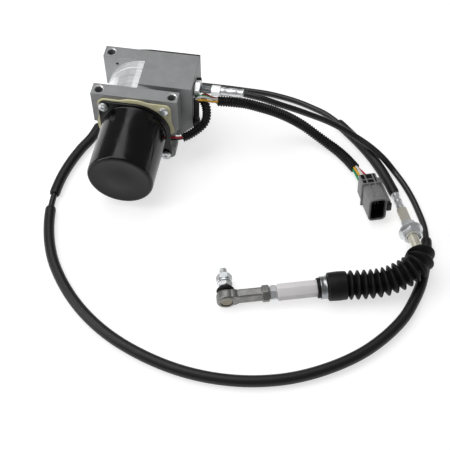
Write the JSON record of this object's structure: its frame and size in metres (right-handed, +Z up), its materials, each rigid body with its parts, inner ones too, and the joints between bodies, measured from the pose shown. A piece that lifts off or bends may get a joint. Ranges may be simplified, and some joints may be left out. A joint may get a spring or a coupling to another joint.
{
  "type": "engine governor actuator",
  "caption": "Geared electric governor actuator with a motor on a cast body, a push-pull cable ending in a bellows and ball joint, and a wiring harness.",
  "frame": {"origin": "on the table under the middle of the actuator body, the cable and harness left out", "axes": "+X along the feet towards the cable outlet, +Y from the motor end to the rear cover, +Z up"},
  "size_m": [0.3865, 0.3678, 0.083],
  "materials": {
    "cast_aluminium": "satin as-cast, machined faces",
    "black_paint": "gloss black paint",
    "sealant": "pale yellow sealing gasket",
    "zinc_steel": "bright zinc plate",
    "gear_steel": "cut steel, oiled",
    "bearing_steel": "ground steel",
    "black_rubber": "matt black rubber",
    "black_plastic": "satin black",
    "grey_plastic": "matt grey",
    "copper": "copper",
    "ferrite": "dull dark ceramic",
    "drawn_aluminium": "drawn, satin",
    "grey_steel": "forged steel, dull",
    "cream_plastic": "cream plastic",
    "wire_green": "insulation",
    "wire_yellow": "insulation",
    "wire_white": "insulation",
    "wire_red": "insulation",
    "wire_black": "insulation"
  },
  "bodies": {
    "body": {"housing": "cast_aluminium", "rear_cover": "black_paint", "motor_can": "black_paint", "motor_gasket": "sealant", "motor_screw_1": "zinc_steel", "motor_screw_2": "zinc_steel", "motor_screw_3": "zinc_steel", "motor_screw_4": "zinc_steel", "motor_end_cap": "black_plastic", "motor_bearing": "bearing_steel", "ring_magnet": "ferrite", "brush_1": "ferrite", "brush_2": "ferrite", "ring_gear": "gear_steel", "carrier_bearing": "bearing_steel", "position_sensor": "black_plastic", "cable_stud": "zinc_steel", "bulkhead_nut": "zinc_steel", "cable_ferrule": "zinc_steel", "breather_plug": "black_rubber", "sensor_sleeve": "black_rubber", "cable_conduit": "black_plastic", "cable_sleeve_1": "black_plastic", "cable_sleeve_2": "black_plastic", "cable_sleeve_3": "black_plastic", "far_ferrule": "zinc_steel", "far_tube": "zinc_steel", "lock_washer": "zinc_steel", "flange_nut": "zinc_steel", "bellows": "black_rubber", "far_core": "bearing_steel", "main_loom": "black_plastic", "motor_loom": "black_plastic", "wire_green": "wire_green", "wire_yellow": "wire_yellow", "wire_white": "wire_white", "wire_red": "wire_red", "wire_black": "wire_black", "connector_shell": "grey_plastic", "contact_carrier": "black_plastic", "connector_clip": "black_plastic"},
    "armature": {"motor_shaft": "gear_steel", "armature_core": "gear_steel", "commutator": "copper"},
    "carrier": {"planet_carrier": "gear_steel"},
    "planet_1": {"planet_gear_1": "gear_steel"},
    "planet_2": {"planet_gear_2": "gear_steel"},
    "planet_3": {"planet_gear_3": "gear_steel"},
    "output": {"output_shaft": "gear_steel"},
    "rack_slider": {"rack": "gear_steel", "core_wire": "bearing_steel"},
    "rod": {"adjuster_rod": "drawn_aluminium", "jam_nut": "zinc_steel", "rod_end": "grey_steel", "socket_plug": "cream_plastic", "band_clamp": "zinc_steel"},
    "boot": {"dust_boot": "black_rubber"},
    "stud": {"ball_stud": "zinc_steel", "stud_washer": "zinc_steel", "stud_nut": "zinc_steel"}
  },
  "joints": [
    {"name": "armature_spin", "type": "hinge", "parent": "body", "child": "armature", "pos_m": [-0.0086, 0.00035, 0.0415], "axis": [0, -1, 0], "range_deg": [0, 1489.69]},
    {"name": "carrier_turn", "type": "hinge", "parent": "body", "child": "carrier", "pos_m": [-0.0086, 0.02035, 0.0415], "axis": [0, -1, 0], "range_deg": [0, 297.94]},
    {"name": "planet_1_turn", "type": "hinge", "parent": "carrier", "child": "planet_1", "pos_m": [-0.0086, 0.01035, 0.0565], "axis": [0, -1, 0], "range_deg": [-794.51, 0]},
    {"name": "planet_2_turn", "type": "hinge", "parent": "carrier", "child": "planet_2", "pos_m": [-0.02159, 0.01035, 0.034], "axis": [0, -1, 0], "range_deg": [-794.51, 0]},
    {"name": "planet_3_turn", "type": "hinge", "parent": "carrier", "child": "planet_3", "pos_m": [0.00439, 0.01035, 0.034], "axis": [0, -1, 0], "range_deg": [-794.51, 0]},
    {"name": "output_turn", "type": "hinge", "parent": "body", "child": "output", "pos_m": [0.01157, 0.03735, 0.0545], "axis": [0, 1, 0], "range_deg": [0, 148.97]},
    {"name": "rack_slide", "type": "slide", "parent": "body", "child": "rack_slider", "axis": [1, 0, 0], "range_m": [0, 0.026]},
    {"name": "rod_slide", "type": "slide", "parent": "body", "child": "rod", "axis": [-0.9672, -0.25, -0.045], "range_m": [0, 0.026], "deforming": ["bellows", "far_core"]},
    {"name": "ball_tilt", "type": "hinge", "parent": "rod", "child": "boot", "pos_m": [0.1116, -0.16885, 0.0094], "axis": [0.9682, 0.2503, 0], "range_deg": [-8, 8]},
    {"name": "stud_spin", "type": "hinge", "parent": "boot", "child": "stud", "pos_m": [0.1116, -0.16885, 0.0094], "axis": [-0.2503, 0.9682, 0], "continuous": true}
  ],
  "couplings": [
    {"joint": "carrier_turn", "follows": "armature_spin", "ratio": 0.2},
    {"joint": "planet_1_turn", "follows": "armature_spin", "ratio": -0.53333},
    {"joint": "planet_2_turn", "follows": "armature_spin", "ratio": -0.53333},
    {"joint": "planet_3_turn", "follows": "armature_spin", "ratio": -0.53333},
    {"joint": "output_turn", "follows": "armature_spin", "ratio": 0.1},
    {"joint": "rack_slide", "follows": "armature_spin", "m_per_rad": 0.001},
    {"joint": "rod_slide", "follows": "armature_spin", "m_per_rad": 0.001}
  ]
}
